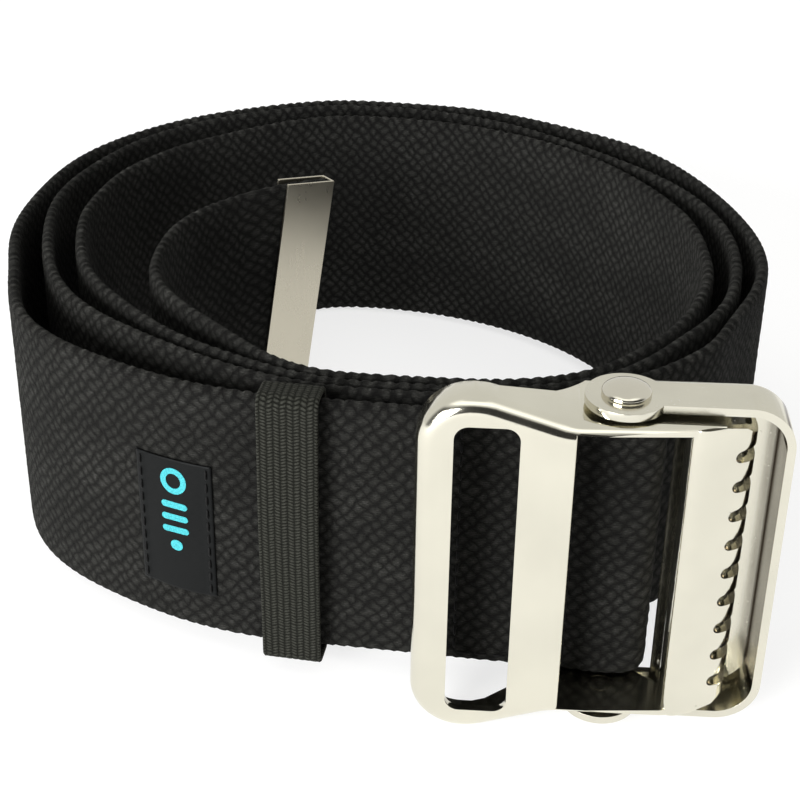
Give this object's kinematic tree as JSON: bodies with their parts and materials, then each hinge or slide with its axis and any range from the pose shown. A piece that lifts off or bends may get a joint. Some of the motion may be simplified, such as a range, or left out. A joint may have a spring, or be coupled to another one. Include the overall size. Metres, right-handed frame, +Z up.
{
  "type": "gait belt",
  "caption": "Gait belt of black cotton webbing rolled into a standing coil, with a hinged toothed metal buckle, an elastic keeper loop, a sewn label and a metal end tip.",
  "frame": {"origin": "middle of the footprint, on the floor that the coil stands on", "axes": "+Z up, across the webbing; the buckle's face looks along -Y; +X runs from the buckle's slot end to its toothed end"},
  "size_m": [0.1528, 0.1707, 0.0668],
  "materials": {
    "webbing": "matt woven cotton",
    "elastic": "ribbed knitted elastic",
    "label_satin": "satin",
    "thread": "matt thread",
    "tip_nickel": "bright nickel plate",
    "lever_nickel": "bright nickel plate",
    "frame_nickel": "bright nickel plate",
    "rivet_nickel": "bright nickel plate"
  },
  "bodies": {
    "belt": {"strap_webbing": "webbing", "label": "label_satin", "label_stitches": "thread", "eye_stitches": "thread", "end_tip": "tip_nickel"},
    "keeper": {"keeper_loop": "elastic"},
    "buckle": {"buckle_frame": "frame_nickel", "upper_rivet": "rivet_nickel", "lower_rivet": "rivet_nickel"},
    "lever": {"toothed_lever": "lever_nickel"}
  },
  "joints": [
    {"name": "buckle_swing", "type": "hinge", "parent": "belt", "child": "buckle", "pos_m": [0.04735, -0.0714, 0.0337], "axis": [0, 0, 1], "range_deg": [0, 20]},
    {"name": "lever_swing", "type": "hinge", "parent": "buckle", "child": "lever", "pos_m": [0.04415, -0.0774, 0.0337], "axis": [0, 0, 1], "range_deg": [-4, 0]},
    {"name": "keeper_slide", "type": "slide", "parent": "belt", "child": "keeper", "axis": [0.9935, -0.1139, 0], "range_m": [0, 0.006]}
  ]
}
